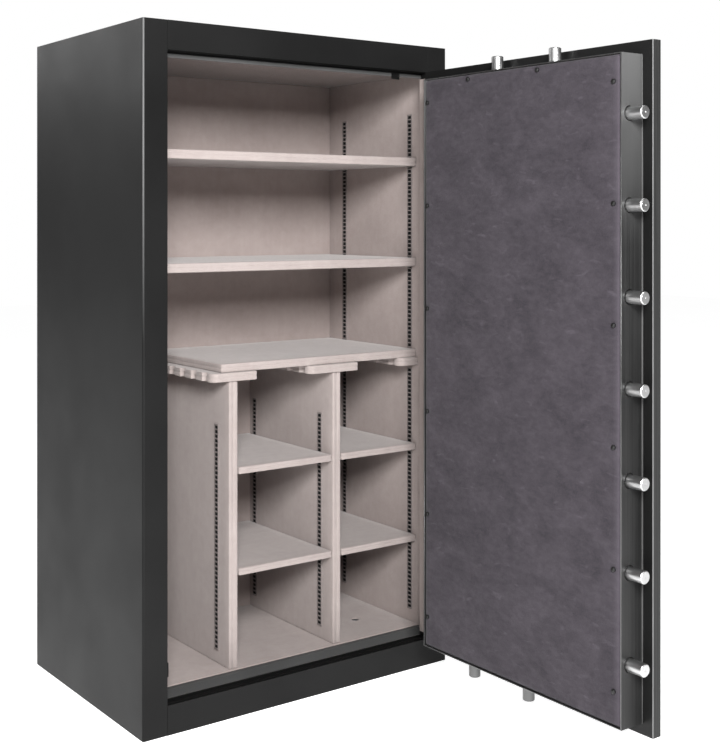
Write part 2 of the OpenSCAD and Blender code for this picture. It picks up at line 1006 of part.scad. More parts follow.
// cam plate on the handle shaft; one slot each for side, top and bottom followers
module scroll_cam() {
    color(BRIGHT)
        swung()
            translate([0, cam_y1, handle_z])
                rotate([90, 0, 0])
                    difference() {
                        cylinder(r = scroll_r + 17, h = cam_y1 - cam_y0);
                        translate([0, 0, -2])
                            for (start = [90, 180, 270])
                                scroll_slot(start);
                        translate([0, 0, -1])
                            cylinder(r = shaft_r + 0.02, h = cam_y1 - cam_y0 + 2);
                    }
}

// one spoke with its grip, pointing along +X of the hub
module spoke() {
    rotate([0, 90, 0])
        rotate_extrude()
            polygon([
                [0, 18], [7.5, 18], [6, 70], [9, 92], [13, 104],
                [15, 114], [13, 124], [8, spoke_len], [0, spoke_len]
            ]);
}

// hub, spokes and the shaft through the slab
module handle() {
    color(BRIGHT)
        swung()
            union() {
                translate([0, front - 8.5, handle_z])
                    rotate([90, 0, 0])
                        rotate_extrude()
                            polygon([[0, 0], [30, 0], [32, 3], [30, 24], [24, 32], [10, 36], [0, 36]]);
                translate([0, front - 24, handle_z])
                    rotate([90, 0, 0])
                        for (i = [0 : spokes - 1])
                            rotate([0, 0, 90 + i * 360 / spokes])
                                spoke();
                rod_y(0, front - 9, cam_y1 + 2, handle_z, shaft_r);
                rod_y(0, cam_y1, cam_y1 + 6, handle_z, 13);
            }
}

// graduated dial, knurled knob and spindle
module dial() {
    teeth = 24;
    color(BLACK)
        swung()
            union() {
                rod_y(0, front - 15, front - 5, dial_z, dial_d / 2);
                difference() {
                    translate([0, front - 14, dial_z])
                        rotate([90, 0, 0])
                            rotate_extrude()
                                polygon([[0, 0], [24, 0], [19, 6], [19, 28], [16, 31], [0, 31]]);
                    for (i = [0 : teeth - 1])
                        translate([0, 0, dial_z])
                            rotate([0, i * 360 / teeth, 0])
                                rod_y(19.6, front - 44, front - 21, 0, 1.3);
                }
                rod_y(0, front - 6, lock_front + 13, dial_z, spindle_r);
                rod_y(0, lock_front + 0.5, lock_front + 11, dial_z, 17);
            }
}

// lock bolt: slides out of the case into a notch of the top rod
module lock_bolt() {
    color(BRASS)
        swung()
            block([12, tongue_y0, tongue_z0], [rod_x0 - 4, tongue_y1, tongue_z1]);
}

// ---------------------------------------------------------------- output

side_left();
side_right();
top_panel();
bottom_panel();
back_plate();
stop_flange();
door_seal();
jamb_trim();
jamb_bumpers();
fireboard_sides();
fireboard_ends();
fireboard_back();
back_batt();
floor_deck();
ceiling_deck();
back_deck();
liner_left();
liner_right();
liner_back();
liner_ceiling();
liner_floor();
divider_left();
divider_right();
shelf_top();
shelf_second();
shelf_middle();
rest_left();
rest_middle();
rest_right();
cubby_shelves_mid();
cubby_shelves_right();
standards_upper();
standards_lower();
standards_divider();
shelf_clips();
hinge_leaves_body();
hinge_pins();
hinge_washers();
door_slab();
door_core();
door_box();
door_fireboard();
door_liner();
liner_pins();
hinge_leaves_door();
hinge_stiffener();
bolt_guides();
handle_bush();
lock_case();
dial_ring();
side_bolts();
side_bar();
top_bolts();
top_link();
bottom_bolts();
bottom_link();
handle();
scroll_cam();
dial();
lock_bolt();
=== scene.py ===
import json
import math
import random

import bmesh
import bpy
from mathutils import Matrix, Vector, noise


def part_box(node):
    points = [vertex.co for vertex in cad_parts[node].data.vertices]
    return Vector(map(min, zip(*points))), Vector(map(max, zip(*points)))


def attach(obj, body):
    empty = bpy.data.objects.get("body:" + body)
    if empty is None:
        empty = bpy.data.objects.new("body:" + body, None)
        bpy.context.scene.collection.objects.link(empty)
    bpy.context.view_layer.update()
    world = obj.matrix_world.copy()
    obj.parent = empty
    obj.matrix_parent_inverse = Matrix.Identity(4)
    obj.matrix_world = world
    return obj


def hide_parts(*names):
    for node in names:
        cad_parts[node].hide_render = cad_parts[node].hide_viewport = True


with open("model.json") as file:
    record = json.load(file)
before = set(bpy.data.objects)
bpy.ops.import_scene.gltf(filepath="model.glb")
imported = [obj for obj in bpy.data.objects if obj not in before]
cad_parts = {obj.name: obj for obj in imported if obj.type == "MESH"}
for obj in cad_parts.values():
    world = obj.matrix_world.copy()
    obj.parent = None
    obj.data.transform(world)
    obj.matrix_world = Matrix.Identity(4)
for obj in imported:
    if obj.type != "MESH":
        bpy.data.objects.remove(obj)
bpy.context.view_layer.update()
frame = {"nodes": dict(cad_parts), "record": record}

# Looks of a tall gun safe with its door open: powder-coated steel body, carpeted
# boards inside, a carpeted door panel, bright locking bolts, handle and dial.
# Everything is in metres, in the CAD frame. The door stands square open, so its
# inner face looks to -X and its outer face to +X.

MM = 0.001
SAME_POINT = 0.01 * MM
NODES = frame["nodes"]
SLOT_OF = {part["node"]: part["material_slot"] for part in frame["record"]["subparts"]}
BODY_OF = {node: body for body, nodes in frame["record"]["behaviour"]["bodies"].items() for node in nodes}

# ---------------------------------------------------------------- camera, light, floor

CAMERA_AT = Vector((-1.936, -3.208, 1.323))
CAMERA_TURN = math.radians(-36.47)
LENS_MM = 59.89
SENSOR_MM = 36.0
SHIFT_Y = -0.2109
FAR_CLIP = 60.0
AMBIENT = 0.12          # how strongly the white surroundings light the object
FLOOR_HALF = 15.0
FLOOR_GLOW = 0.89       # keeps the floor as pale as the backdrop behind it
WHITE = (1.0, 1.0, 1.0, 1.0)


def make_camera():
    data = bpy.data.cameras.new("camera")
    data.lens = LENS_MM
    data.sensor_width = SENSOR_MM
    data.shift_y = SHIFT_Y
    data.clip_end = FAR_CLIP
    camera = bpy.data.objects.new("camera", data)
    camera.location = CAMERA_AT
    camera.rotation_euler = (math.radians(90), 0.0, CAMERA_TURN)
    bpy.context.scene.collection.objects.link(camera)
    bpy.context.scene.camera = camera


def make_softbox(name, at, aim, width, height, watts):
    """A rectangular area light at one point, aimed at another."""
    data = bpy.data.lights.new(name, "AREA")
    data.shape = "RECTANGLE"
    data.size = width
    data.size_y = height
    data.energy = watts
    light = bpy.data.objects.new(name, data)
    light.location = at
    light.rotation_euler = (Vector(aim) - Vector(at)).to_track_quat("-Z", "Y").to_euler()
    bpy.context.scene.collection.objects.link(light)


def make_studio():
    """A white backdrop that lights the object softly, and four soft boxes."""
    world = bpy.data.worlds.new("studio")
    world.use_nodes = True
    nodes, links = world.node_tree.nodes, world.node_tree.links
    backdrop = nodes["Background"]
    backdrop.inputs["Color"].default_value = WHITE
    backdrop.inputs["Strength"].default_value = 1.0
    ambient = nodes.new("ShaderNodeBackground")
    ambient.inputs["Strength"].default_value = AMBIENT
    path = nodes.new("ShaderNodeLightPath")
    mix = nodes.new("ShaderNodeMixShader")
    links.new(path.outputs["Is Camera Ray"], mix.inputs["Fac"])
    links.new(ambient.outputs["Background"], mix.inputs[1])
    links.new(backdrop.outputs["Background"], mix.inputs[2])
    links.new(mix.outputs["Shader"], nodes["World Output"].inputs["Surface"])
    bpy.context.scene.world = world
    bpy.context.scene.view_settings.view_transform = "Standard"
    make_softbox("key", (-2.1, -4.2, 2.8), (0.1, 0.0, 1.0), 1.3, 1.3, 390)
    make_softbox("side", (-4.2, -0.6, 3.0), (-0.5, 0.0, 1.8), 0.9, 1.6, 10)
    make_softbox("rim", (0.7, -2.2, 2.7), (0.4, -1.2, 1.7), 0.3, 0.5, 9)
    make_softbox("behind", (-2.9, 5.2, 3.0), (-0.5, 0.0, 1.6), 1.6, 1.4, 48)


def make_floor():
    bm = bmesh.new()
    signs = ((-1, -1), (1, -1), (1, 1), (-1, 1))
    bm.faces.new([bm.verts.new((x * FLOOR_HALF, y * FLOOR_HALF, 0.0)) for x, y in signs])
    mesh = bpy.data.meshes.new("floor")
    bm.to_mesh(mesh)
    bm.free()
    floor = bpy.data.objects.new("floor", mesh)
    bpy.context.scene.collection.objects.link(floor)
    floor.data.materials.append(floor_paper())


# ---------------------------------------------------------------- materials


class Finish:
    """A material under construction: its nodes, and a few ways to add to them."""

    def __init__(self, name, roughness, metallic=0.0, **sockets):
        self.material = bpy.data.materials.new(name)
        self.material.use_nodes = True
        self.nodes = self.material.node_tree.nodes
        self.links = self.material.node_tree.links
        self.shader = self.nodes["Principled BSDF"]
        self.shader.inputs["Roughness"].default_value = roughness
        self.shader.inputs["Metallic"].default_value = metallic
        for socket, value in sockets.items():
            self.shader.inputs[socket.replace("_", " ")].default_value = value
        self.place = self.nodes.new("ShaderNodeTexCoord").outputs["Object"]
        self.height = None

    def noise(self, scale, detail=2.0, stretch=(1.0, 1.0, 1.0), distortion=0.0, shift=0.0):
        """Noise over the object's own place; scale is in cells per metre."""
        mapping = self.nodes.new("ShaderNodeMapping")
        mapping.inputs["Scale"].default_value = stretch
        mapping.inputs["Location"].default_value = (shift, shift, shift)
        texture = self.nodes.new("ShaderNodeTexNoise")
        texture.inputs["Scale"].default_value = scale
        texture.inputs["Detail"].default_value = detail
        texture.inputs["Distortion"].default_value = distortion
        self.links.new(self.place, mapping.inputs["Vector"])
        self.links.new(mapping.outputs["Vector"], texture.inputs["Vector"])
        return texture.outputs["Fac"]

    def ramp(self, factor, *stops):
        """Colours at places along a factor."""
        ramp = self.nodes.new("ShaderNodeValToRGB")
        elements = ramp.color_ramp.elements
        while len(elements) < len(stops):
            elements.new(0.5)
        for element, (at, colour) in zip(elements, stops):
            element.position = at
            element.color = (*colour, 1.0)
        self.links.new(factor, ramp.inputs["Fac"])
        return ramp.outputs["Color"]

    def span(self, factor, low, high, out_low, out_high):
        """A factor stretched from one range to another, held at the ends."""
        node = self.nodes.new("ShaderNodeMapRange")
        node.inputs["From Min"].default_value = low
        node.inputs["From Max"].default_value = high
        node.inputs["To Min"].default_value = out_low
        node.inputs["To Max"].default_value = out_high
        self.links.new(factor, node.inputs["Value"])
        return node.outputs["Result"]

    def axis(self, name):
        """The place along one axis, in metres."""
        split = self.nodes.new("ShaderNodeSeparateXYZ")
        self.links.new(self.place, split.inputs["Vector"])
        return split.outputs[name]

    def mix(self, first, second, factor):
        """Two colours mixed; any input may be a socket or a plain value."""
        node = self.nodes.new("ShaderNodeMix")
        node.data_type = "RGBA"
        colour_a, colour_b = node.inputs[6], node.inputs[7]
        for socket, value in ((node.inputs["Factor"], factor), (colour_a, first), (colour_b, second)):
            if isinstance(value, bpy.types.NodeSocket):
                self.links.new(value, socket)
            elif isinstance(value, tuple):
                socket.default_value = (*value, 1.0)
            else:
                socket.default_value = value
        return node.outputs[2]

    def colour(self, socket):
        self.links.new(socket, self.shader.inputs["Base Color"])

    def roughen(self, socket):
        self.links.new(socket, self.shader.inputs["Roughness"])

    def bump(self, height, depth, strength=1.0):
        """One more layer of relief, depth in metres."""
        node = self.nodes.new("ShaderNodeBump")
        node.inputs["Strength"].default_value = strength
        node.inputs["Distance"].default_value = depth
        self.links.new(height, node.inputs["Height"])
        if self.height is not None:
            self.links.new(self.height, node.inputs["Normal"])
        self.height = node.outputs["Normal"]
        self.links.new(self.height, self.shader.inputs["Normal"])


def grey(value, warm=0.0):
    """A grey, or with a little warm a yellowish one."""
    return (value * (1 + warm), value, value * (1 - warm))


def floor_paper():
    finish = Finish("floor_paper", 0.9)
    finish.colour(finish.ramp(finish.noise(1.5), (0.3, grey(0.90)), (0.7, grey(0.93))))
    finish.shader.inputs["Emission Color"].default_value = WHITE
    finish.shader.inputs["Emission Strength"].default_value = FLOOR_GLOW
    return finish.material


def powder_coat(name, dark, light, corner=None):
    """Textured powder coat with an orange-peel grain; given a corner, a painted highlight lightens the coat
    along that corner's upright edge, strongest over its upper part.
    """
    corner_highlight, fade = 2.5 * MM, 2.0 * MM
    highlight_from, highlight_full = 0.55, 0.82       # as shares of the corner's height
    finish = Finish(name, 0.45, Specular_IOR_Level=0.13, Coat_Weight=0.04, Coat_Roughness=0.2)
    broad = finish.noise(3.0, 3.0)
    speckle = finish.noise(700.0, 1.0, shift=3.0)
    base = finish.ramp(broad, (0.35, dark), (0.65, light))
    coat = finish.mix(base, finish.ramp(speckle, (0.4, dark), (0.62, light)), 0.35)
    # Painted highlight: near the corner's upright edge, over its upper part, the coat is mixed towards a
    # light grey.
    if corner:
        start = corner + Vector((corner_highlight, corner_highlight, 0.0))
        highlight_rise = finish.span(finish.axis("Z"), highlight_from * corner.z, highlight_full * corner.z, 0.0, 1.0)
        beside = finish.span(finish.axis("X"), start.x, start.x + fade, 1.0, 0.0)
        ahead = finish.span(finish.axis("Y"), start.y, start.y + fade, 1.0, 0.0)
        thin = finish.mix(coat, grey(0.13), highlight_rise)
        coat = finish.mix(coat, finish.mix(coat, thin, beside), ahead)
    finish.colour(coat)
    finish.roughen(finish.span(finish.noise(5.0, 3.0, shift=7.0), 0.3, 0.7, 0.42, 0.5))
    finish.bump(speckle, 0.25 * MM, 0.5)
    finish.bump(finish.noise(230.0, 2.0, shift=11.0), 0.3 * MM, 0.35)
    return finish.material


def carpet(name, dark, light, streak):
    """Short-pile carpet: broad shading, clumps of pile, a faint brushed nap and single fibres."""
    pile = 620.0
    finish = Finish(name, 0.95, Sheen_Weight=0.25, Sheen_Roughness=0.45, Specular_IOR_Level=0.2)
    broad = finish.ramp(finish.noise(6.0, 4.0, distortion=0.8), (0.32, dark), (0.68, light))
    clumps = finish.ramp(finish.noise(42.0, 3.0, distortion=0.4, shift=6.0), (0.34, dark), (0.66, light))
    nap = finish.ramp(finish.noise(8.0, 2.0, stretch=streak, shift=5.0), (0.2, dark), (0.8, light))
    fibre = finish.ramp(finish.noise(pile, 2.0, shift=9.0), (0.3, dark), (0.7, light))
    finish.colour(finish.mix(finish.mix(finish.mix(broad, clumps, 0.4), nap, 0.25), fibre, 0.4))
    finish.bump(finish.noise(pile, 2.0, shift=9.0), 0.8 * MM, 0.6)
    finish.bump(finish.noise(60.0, 3.0, shift=2.0), 1.2 * MM, 0.3)
    return finish.material


def door_coat(name, dark, light, lit_edge_dark, lit_edge_light, corner):
    """The slab's powder coat. Its free edge shows drawn-steel lines in a lighter tone, painted light for the
    light falling on that edge, with a painted highlight along the inner corner.
    """
    fade = 1.5 * MM
    finish = Finish(name, 0.45, Specular_IOR_Level=0.2, Coat_Weight=0.05, Coat_Roughness=0.2)
    speckle = finish.noise(700.0, 1.0, shift=3.0)
    coat = finish.mix(
        finish.ramp(finish.noise(3.0, 3.0), (0.35, dark), (0.65, light)),
        finish.ramp(speckle, (0.4, dark), (0.62, light)),
        0.35,
    )
    lines = finish.noise(1.0, 3.0, stretch=(420.0, 420.0, 2.0))
    # Painted light: the free edge is lightened to streaked drawn steel, and a light grey painted highlight
    # runs along its inner corner.
    lit_free_edge = finish.span(finish.axis("Y"), corner.y, corner.y + fade, 1.0, 0.0)
    corner_highlight = finish.span(finish.axis("X"), corner.x, corner.x + fade, 1.0, 0.0)
    lit_drawn_edge = finish.mix(finish.ramp(lines, (0.35, lit_edge_dark), (0.65, lit_edge_light)), grey(0.22), corner_highlight)
    finish.colour(finish.mix(coat, lit_drawn_edge, lit_free_edge))
    finish.bump(speckle, 0.25 * MM, 0.5)
    finish.bump(lines, 0.05 * MM, 0.3)
    return finish.material


def door_carpet(name, dark, light):
    """Grey-violet pile on the door panel: cloudy blotches, level flecks, fibres, and a painted highlight that
    makes the free edge paler.
    """
    pile = 430.0
    finish = Finish(name, 0.95, Sheen_Weight=0.15, Sheen_Roughness=0.45, Specular_IOR_Level=0.2)
    pale = tuple(c * 1.8 for c in light)
    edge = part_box("door_liner")[0].y
    cloud = finish.ramp(finish.noise(9.0, 6.0, (1.0, 0.8, 1.3), 0.9), (0.34, dark), (0.66, light))
    clumps = finish.ramp(finish.noise(50.0, 3.0, (1.0, 0.8, 1.6), 0.5, 6.0), (0.34, dark), (0.66, light))
    fibre = finish.ramp(finish.noise(pile, 2.0, shift=9.0), (0.3, dark), (0.7, light))
    cloth = finish.mix(finish.mix(cloud, clumps, 0.42), fibre, 0.3)
    flecks = finish.span(finish.noise(22.0, 3.0, (1.0, 1.0, 2.6), 0.5, 12.0), 0.62, 0.82, 0.0, 0.45)
    # Painted highlight: the cloth is paler near the free edge, where it rolls over.
    edge_highlight = finish.span(finish.axis("Y"), edge + 6.0 * MM, edge + 24.0 * MM, 0.35, 0.0)
    finish.colour(finish.mix(finish.mix(cloth, pale, flecks), pale, edge_highlight))
    finish.bump(finish.noise(pile, 2.0, shift=9.0), 0.8 * MM, 0.7)
    finish.bump(finish.noise(48.0, 3.0, shift=2.0), 2.0 * MM, 0.45)
    return finish.material


def drawn_steel(name, dark, light):
    """Drawn steel with fine upright lines in the colour and the shine, painted much lighter towards the top
    to stand in for the light falling there.
    """
    finish = Finish(name, 0.4, Specular_IOR_Level=0.32)
    lines = finish.noise(1.0, 3.0, stretch=(420.0, 420.0, 2.0))
    patches = finish.noise(5.0, 3.0, shift=8.0)
    streaks = finish.ramp(lines, (0.35, dark), (0.65, light))
    base = finish.mix(streaks, finish.ramp(patches, (0.3, dark), (0.7, light)), 0.4)
    # Painted light: above this height the steel is mixed towards a much lighter grey.
    painted_light_from, painted_light_to = 1.25, 1.75
    thin = finish.span(finish.axis("Z"), painted_light_from, painted_light_to, 0.0, 0.75)
    finish.colour(finish.mix(base, tuple(c * 5.0 for c in light), thin))
    finish.roughen(finish.span(lines, 0.3, 0.7, 0.34, 0.5))
    finish.bump(lines, 0.15 * MM, 0.5)
    return finish.material


def metal(name, tone, roughness, grain, depth, spread=0.08):
    """Bare or plated metal with a directional grain."""
    finish = Finish(name, roughness, metallic=1.0)
    lines = finish.noise(1.0, 3.0, stretch=grain)
    smear = finish.noise(18.0, 3.0, shift=4.0)
    finish.colour(finish.ramp(smear, (0.3, tuple(c * 0.9 for c in tone)), (0.7, tone)))
    finish.roughen(finish.span(smear, 0.3, 0.7, roughness - spread / 2, roughness + spread / 2))
    finish.bump(lines, depth, 0.6)
    return finish.material


def matt(name, dark, light, scale, roughness, depth, shine=0.5):
    """A plain matt stuff with a grain: rubber, board, wool or moulded plastic."""
    finish = Finish(name, roughness, Specular_IOR_Level=shine)
    grain = finish.noise(scale, 3.0)
    finish.colour(finish.ramp(grain, (0.3, dark), (0.7, light)))
    finish.bump(grain, depth, 0.6)
    return finish.material


def make_finishes():
    """Every finish, by the name of its material slot or of the place it is used."""
    brushed_up, brushed_along = (9.0, 9.0, 0.7), (3.0, 9.0, 1.0)
    even = (40.0, 40.0, 40.0)
    slab_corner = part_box("door_slab")[0] + Vector((0.8 * MM, 0.8 * MM, 0.0))
    low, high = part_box("side_left")
    body_corner = Vector((low.x, low.y, high.z))
    return {
        # The body's coat takes a painted highlight along its near upright corner.
        "body_paint": powder_coat("powder_coat", grey(0.0045), grey(0.0085), body_corner),
        # The box steel is painted lighter towards the top, as painted light.
        "box_steel": drawn_steel("box_steel", grey(0.005), grey(0.024)),
        "trim_steel": powder_coat("grey_paint", grey(0.05), grey(0.075)),
        "bolt_steel": metal("turned_steel", grey(0.6), 0.36, even, 0.05 * MM),
        # Painted shade: the bottom bolts get a darker copy of the turned steel.
        "shaded_bolt": metal("shaded_bolt_steel", grey(0.17), 0.4, even, 0.05 * MM),
        "zinc": metal("zinc_plate", grey(0.55, 0.02), 0.34, (60.0, 900.0, 60.0), 0.05 * MM),
        "standard_steel": matt(
            "taupe_enamel", (0.16, 0.14, 0.135), (0.21, 0.185, 0.18), 90.0, 0.45, 0.05 * MM
        ),
        "interior_fabric": carpet("interior_carpet", (0.275, 0.226, 0.212), (0.385, 0.33, 0.313), brushed_up),
        # Painted shade: the ceiling lining is a darker, browner copy of the interior carpet, for the shade
        # under the header.
        "ceiling_fabric": carpet("shaded_ceiling_carpet", (0.095, 0.058, 0.048), (0.155, 0.105, 0.09), brushed_up),
        # The slab's coat takes painted light on its free edge and a painted highlight along its inner corner.
        "slab_paint": door_coat(
            "slab_coat", grey(0.0048), grey(0.009), grey(0.012), grey(0.032), slab_corner
        ),
        "bare_rim": metal("bare_rim", grey(0.2), 0.4, (300.0, 300.0, 300.0), 0.03 * MM),
        "covered_board": carpet("board_carpet", (0.285, 0.24, 0.227), (0.395, 0.344, 0.328), brushed_along),
        "door_fabric": door_carpet("door_carpet", (0.022, 0.0185, 0.024), (0.058, 0.050, 0.060)),
        "fire_board": matt("fire_board", (0.62, 0.61, 0.57), (0.74, 0.73, 0.69), 260.0, 0.9, 0.2 * MM),
        "wool": matt("mineral_wool", (0.42, 0.34, 0.14), (0.6, 0.5, 0.24), 420.0, 0.95, 2.0 * MM),
        "deck_board": matt("deck_board", (0.35, 0.24, 0.14), (0.52, 0.38, 0.24), 120.0, 0.8, 0.3 * MM),
        "rubber": matt("black_rubber", grey(0.002), grey(0.005), 300.0, 0.8, 0.1 * MM, 0.1),
        "black_plastic": matt("black_plastic", grey(0.004), grey(0.008), 500.0, 0.5, 0.05 * MM),
        "brass": metal("turned_brass", (0.72, 0.50, 0.20), 0.26, (60.0, 60.0, 900.0), 0.04 * MM),
        "white_ink": matt("white_ink", grey(0.78), grey(0.85), 900.0, 0.5, 0.02 * MM),
        "slot_dark": matt("slot_dark", grey(0.003), grey(0.006), 400.0, 0.9, 0.05 * MM, 0.2),
        "chrome": metal("chrome_plate", grey(0.82), 0.09, (30.0, 30.0, 30.0), 0.01 * MM, 0.05),
    }


# ---------------------------------------------------------------- mesh helpers


def smooth_group():
    """A node group that shades a mesh smooth, for use as a modifier after a bevel."""
    group = bpy.data.node_groups.new("shade_smooth", "GeometryNodeTree")
    group.interface.new_socket("Geometry", in_out="INPUT", socket_type="NodeSocketGeometry")
    group.interface.new_socket("Geometry", in_out="OUTPUT", socket_type="NodeSocketGeometry")
    start = group.nodes.new("NodeGroupInput")
    end = group.nodes.new("NodeGroupOutput")
    smooth = group.nodes.new("GeometryNodeSetShadeSmooth")
    group.links.new(start.outputs[0], smooth.inputs["Geometry"])
    group.links.new(smooth.outputs["Geometry"], end.inputs[0])
    return group


def soften_edges(obj, width, smooth):
    """Joins the loose CAD facets, rounds the sharp edges and shades the result smooth."""
    weld = obj.modifiers.new("weld", "WELD")
    weld.merge_threshold = SAME_POINT
    flat = obj.modifiers.new("flat", "DECIMATE")
    flat.decimate_type = "DISSOLVE"
    flat.angle_limit = math.radians(0.5)
    bevel = obj.modifiers.new("bevel", "BEVEL")
    bevel.width = width
    bevel.segments = 2
    bevel.limit_method = "ANGLE"
    bevel.angle_limit = math.radians(40)
    obj.modifiers.new("smooth", "NODES").node_group = smooth
    obj.modifiers.new("weighted", "WEIGHTED_NORMAL").weight = 80


def add_piece(name, bm, body, material, slot, *replaced):
    """A new visible piece from a bmesh, riding on a body."""
    mesh = bpy.data.meshes.new(name)
    bm.to_mesh(mesh)
    bm.free()
    for polygon in mesh.polygons:
        polygon.use_smooth = True
    mesh.materials.append(material)
    obj = bpy.data.objects.new(name, mesh)
    bpy.context.scene.collection.objects.link(obj)
    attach(obj, body)
    if replaced:
        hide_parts(*replaced)
    return obj


def node_islands(node):
    """The separate solids of a CAD node, each as its own bmesh."""
    whole = bmesh.new()
    whole.from_mesh(NODES[node].data)
    bmesh.ops.remove_doubles(whole, verts=whole.verts, dist=SAME_POINT)
    left = set(whole.verts)
    found = []
    while left:
        stack = [min(left, key=lambda v: v.index)]
        members = set(stack)
        while stack:
            for edge in stack.pop().link_edges:
                for vert in edge.verts:
                    if vert not in members:
                        members.add(vert)
                        stack.append(vert)
        left -= members
        part = bmesh.new()
        twin = {v: part.verts.new(v.co) for v in sorted(members, key=lambda v: v.index)}
        for face in whole.faces:
            if face.verts[0] in members:
                part.faces.new([twin[v] for v in face.verts])
        found.append(part)
    whole.free()
    return found


def extent(bm):
    low = Vector([min(v.co[k] for v in bm.verts) for k in range(3)])
    high = Vector([max(v.co[k] for v in bm.verts) for k in range(3)])
    return low, high


def cut(bm, axis, at):
    """Cuts every face of a bmesh along one plane square to an axis."""
    normal = Vector((0.0, 0.0, 0.0))
    normal[axis] = 1.0
    point = Vector((0.0, 0.0, 0.0))
    point[axis] = at
    geometry = bm.verts[:] + bm.edges[:] + bm.faces[:]
    bmesh.ops.bisect_plane(bm, geom=geometry, dist=SAME_POINT, plane_co=point, plane_no=normal)


def cover_board(bm, roll, cell, sag, seam):
    """Turns a plain board into a carpeted one: rolled edges, an uneven face and an edge seam."""
    bmesh.ops.dissolve_limit(bm, angle_limit=math.radians(1), verts=bm.verts, edges=bm.edges)
    sharp = [e for e in bm.edges if e.is_manifold and e.calc_face_angle() > math.radians(50)]
    bmesh.ops.bevel(
        bm, geom=sharp, offset=roll, offset_type="OFFSET", segments=3, profile=0.5, affect="EDGES",
        clamp_overlap=True,
    )
    low, high = extent(bm)
    for axis in range(3):
        count = int((high[axis] - low[axis]) / cell)
        for i in range(1, count):
            cut(bm, axis, low[axis] + (high[axis] - low[axis]) * i / count)
    thin = min(range(3), key=lambda k: high[k] - low[k])
    middle = (low[thin] + high[thin]) / 2
    seam_half, seam_deep = 1.6 * MM, 1.3 * MM
    if seam:
        for offset in (-seam_half, 0.0, seam_half):
            cut(bm, thin, middle + offset)
    bm.normal_update()
    normals = [v.normal.copy() for v in bm.verts]
    for vert, normal in zip(bm.verts, normals):
        lift = 0.5 + 0.5 * noise.noise(vert.co * 14.0) + 0.25 * noise.noise(vert.co * 37.0)
        depth = sag * max(0.0, lift)
        if seam and abs(vert.co[thin] - middle) < 0.1 * MM and abs(normal[thin]) < 0.3:
            depth += seam_deep
        vert.co -= normal * depth
    return bm


def join(parts):
    """Several bmeshes as one."""
    whole = bmesh.new()
    for part in parts:
        mesh = bpy.data.meshes.new("part")
        part.to_mesh(mesh)
        part.free()
        whole.from_mesh(mesh)
        bpy.data.meshes.remove(mesh)
    return whole


def make_covered_boards(finishes):
    """Every carpeted board and lining panel, in place of its plain CAD block."""
    for node, slot in SLOT_OF.items():
        if slot not in ("interior_fabric", "ceiling_fabric", "covered_board"):
            continue
        board = slot == "covered_board"
        roll = 3.0 * MM if board else 1.2 * MM
        cell = 0.03 if board else 0.04
        sag = 0.5 * MM if board else 0.6 * MM
        parts = [cover_board(part, roll, cell, sag, board) for part in node_islands(node)]
        add_piece("carpet_" + node, join(parts), BODY_OF[node], finishes[slot], slot, node)


# ---------------------------------------------------------------- door panel


def make_door_panel(finishes):
    """The carpeted inner panel: foam-backed cloth, drawn down at its pins and a little puckered."""
    roll, roll_deep = 5.0 * MM, 4.0 * MM
    hem_at, hem_half, hem_deep = 16.0 * MM, 2.6 * MM, 1.7 * MM
    pin_reach, pin_deep = 13.0 * MM, 2.6 * MM
    low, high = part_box("door_liner")
    thick = high.x - low.x
    cell = 7.0 * MM
    columns = round((high.y - low.y) / cell)
    rows = round((high.z - low.z) / cell)
    pins = []
    for part in node_islands("liner_pins"):
        part_low, part_high = extent(part)
        part.free()
        pins.append(((part_low.y + part_high.y) / 2, (part_low.z + part_high.z) / 2))
    draw = random.Random(11)
    puckers = []
    pitch = 0.085
    for i in range(int((high.y - low.y) / pitch)):
        for j in range(int((high.z - low.z) / pitch)):
            y = low.y + (i + 0.5 + draw.uniform(-0.42, 0.42)) * pitch
            z = low.z + (j + 0.5 + draw.uniform(-0.42, 0.42)) * pitch
            share = 1.0 - (z - low.z) / (high.z - low.z)
            puckers.append((y, z, draw.uniform(0.2, 0.6 + 1.3 * share) * MM, draw.uniform(6, 12) * MM))

    def depth(y, z):
        edge = min(y - low.y, high.y - y, z - low.z, high.z - z)
        sunk = 0.0
        if edge < roll:
            sunk += roll_deep * (1.0 - math.sqrt(max(0.0, 1.0 - (1.0 - edge / roll) ** 2)))
        hem = (edge - hem_at) / hem_half
        sunk += hem_deep * math.exp(-hem * hem)
        sunk += 0.9 * MM * (0.5 + 0.5 * noise.noise(Vector((0.0, y * 5.0, z * 5.0))))
        sunk += 0.35 * MM * (0.5 + 0.5 * noise.noise(Vector((3.0, y * 22.0, z * 30.0))))
        for pin_y, pin_z in pins:
            far = ((y - pin_y) ** 2 + (z - pin_z) ** 2) / pin_reach ** 2
            if far < 9.0:
                sunk += pin_deep * math.exp(-far)
        for spot_y, spot_z, deep, radius in puckers:
            far = ((y - spot_y) ** 2 + (z - spot_z) ** 2) / radius ** 2
            if far < 9.0:
                sunk += deep * math.exp(-far)
        return min(sunk, thick - 1.0 * MM)

    bm = bmesh.new()
    face = []
    for i in range(columns + 1):
        y = low.y + (high.y - low.y) * i / columns
        face.append([])
        for j in range(rows + 1):
            z = low.z + (high.z - low.z) * j / rows
            face[i].append(bm.verts.new((low.x + depth(y, z), y, z)))
    for i in range(columns):
        for j in range(rows):
            bm.faces.new((face[i][j], face[i][j + 1], face[i + 1][j + 1], face[i + 1][j]))
    rim = [face[i][0] for i in range(columns)] + [face[columns][j] for j in range(rows)]
    rim += [face[i][rows] for i in range(columns, 0, -1)] + [face[0][j] for j in range(rows, 0, -1)]
    back = [bm.verts.new((high.x, v.co.y, v.co.z)) for v in rim]
    for k in range(len(rim)):
        following = (k + 1) % len(rim)
        bm.faces.new((rim[k], rim[following], back[following], back[k]))
    bm.faces.new(list(reversed(back)))
    bmesh.ops.recalc_face_normals(bm, faces=bm.faces)
    panel = add_piece("door_panel", bm, "door", finishes["door_fabric"], "door_fabric", "door_liner")


# ---------------------------------------------------------------- small pieces


